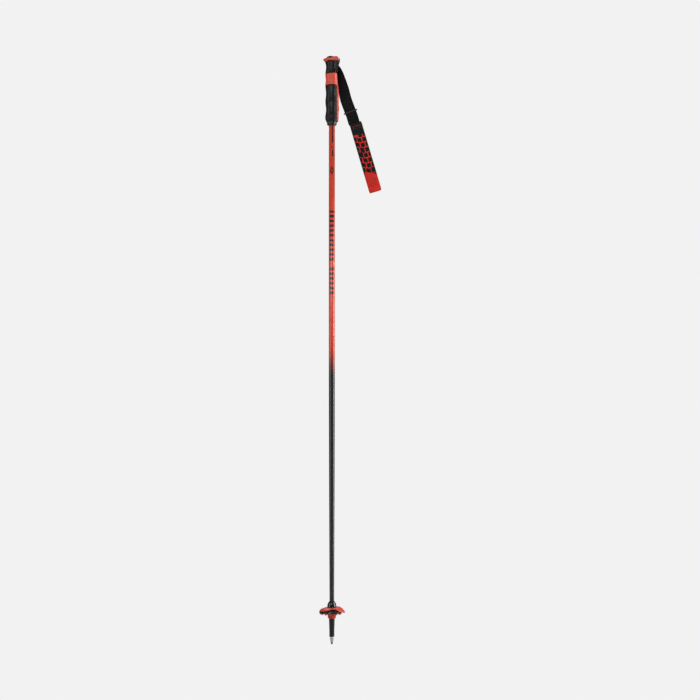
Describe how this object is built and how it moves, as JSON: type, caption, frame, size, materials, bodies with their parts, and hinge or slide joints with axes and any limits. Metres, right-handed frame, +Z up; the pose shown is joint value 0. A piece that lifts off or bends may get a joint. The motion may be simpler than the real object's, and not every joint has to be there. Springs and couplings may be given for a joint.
{
  "type": "ski pole",
  "caption": "Alpine ski pole: tapered tube, moulded grip with finger ridges, wrist strap loop in a wedge lock, small round basket and a carbide tip.",
  "frame": {"origin": "the lowest point of the carbide tip, on the shaft's axis", "axes": "+Z up the shaft to the grip, +X from the finger side of the grip to the palm side, where the strap leaves"},
  "size_m": [0.1425, 0.055, 1.35],
  "materials": {
    "shaft_lacquer": "satin lacquer, orange above and black below",
    "hard_black_plastic": "satin",
    "gloss_black_plastic": "gloss",
    "soft_black_rubber": "matt, fine grain",
    "pad_rubber": "matt, fine grain",
    "orange_plastic": "satin",
    "black_webbing": "ribbed weave",
    "printed_cloth": "weave with a printed pattern",
    "black_lining": "knitted",
    "steel": "turned",
    "carbide": "ground"
  },
  "bodies": {
    "pole": {"shaft_tube": "shaft_lacquer", "grip_core": "hard_black_plastic", "grip_upper_sleeve": "soft_black_rubber", "grip_band": "orange_plastic", "grip_lower_sleeve": "soft_black_rubber", "grip_back_strip": "orange_plastic", "side_pads_upper": "pad_rubber", "side_pads_lower": "pad_rubber", "back_strip_inlay": "hard_black_plastic", "grip_collar": "hard_black_plastic", "head_rim": "orange_plastic", "head_insert": "soft_black_rubber", "lock_pin": "steel", "strap_anchor": "black_webbing", "ferrule_body": "hard_black_plastic", "ferrule_collar": "gloss_black_plastic", "tip_holder": "steel", "carbide_tip": "carbide"},
    "strap_lock": {"strap_wedge": "gloss_black_plastic"},
    "strap_upper": {"strap_leg_front": "black_webbing", "strap_leg_back": "black_webbing"},
    "keeper": {"strap_keeper": "hard_black_plastic"},
    "hand_loop": {"strap_loop": "black_webbing", "strap_pad_cover": "printed_cloth", "strap_pad_lining": "black_lining"},
    "basket": {"basket_hub": "orange_plastic", "basket_ring": "hard_black_plastic", "basket_shell": "orange_plastic"}
  },
  "joints": [
    {"name": "strap_swing", "type": "hinge", "parent": "pole", "child": "strap_upper", "pos_m": [0.0153, 0, 1.3224], "axis": [0, -1, 0], "range_deg": [0, 90]},
    {"name": "loop_fold", "type": "hinge", "parent": "strap_upper", "child": "hand_loop", "pos_m": [0.0465, 0, 1.212], "axis": [0.9593, 0, 0.2823], "range_deg": [-60, 60]},
    {"name": "keeper_slide", "type": "slide", "parent": "strap_upper", "child": "keeper", "axis": [-0.3495, 0, 0.937], "range_m": [0, 0.017]},
    {"name": "lock_lift", "type": "slide", "parent": "pole", "child": "strap_lock", "axis": [0, 0, 1], "range_m": [0, 0.007]},
    {"name": "basket_turn", "type": "hinge", "parent": "pole", "child": "basket", "pos_m": [0, 0, 0.071], "axis": [0, 0, 1], "range_deg": [0, 90]}
  ]
}
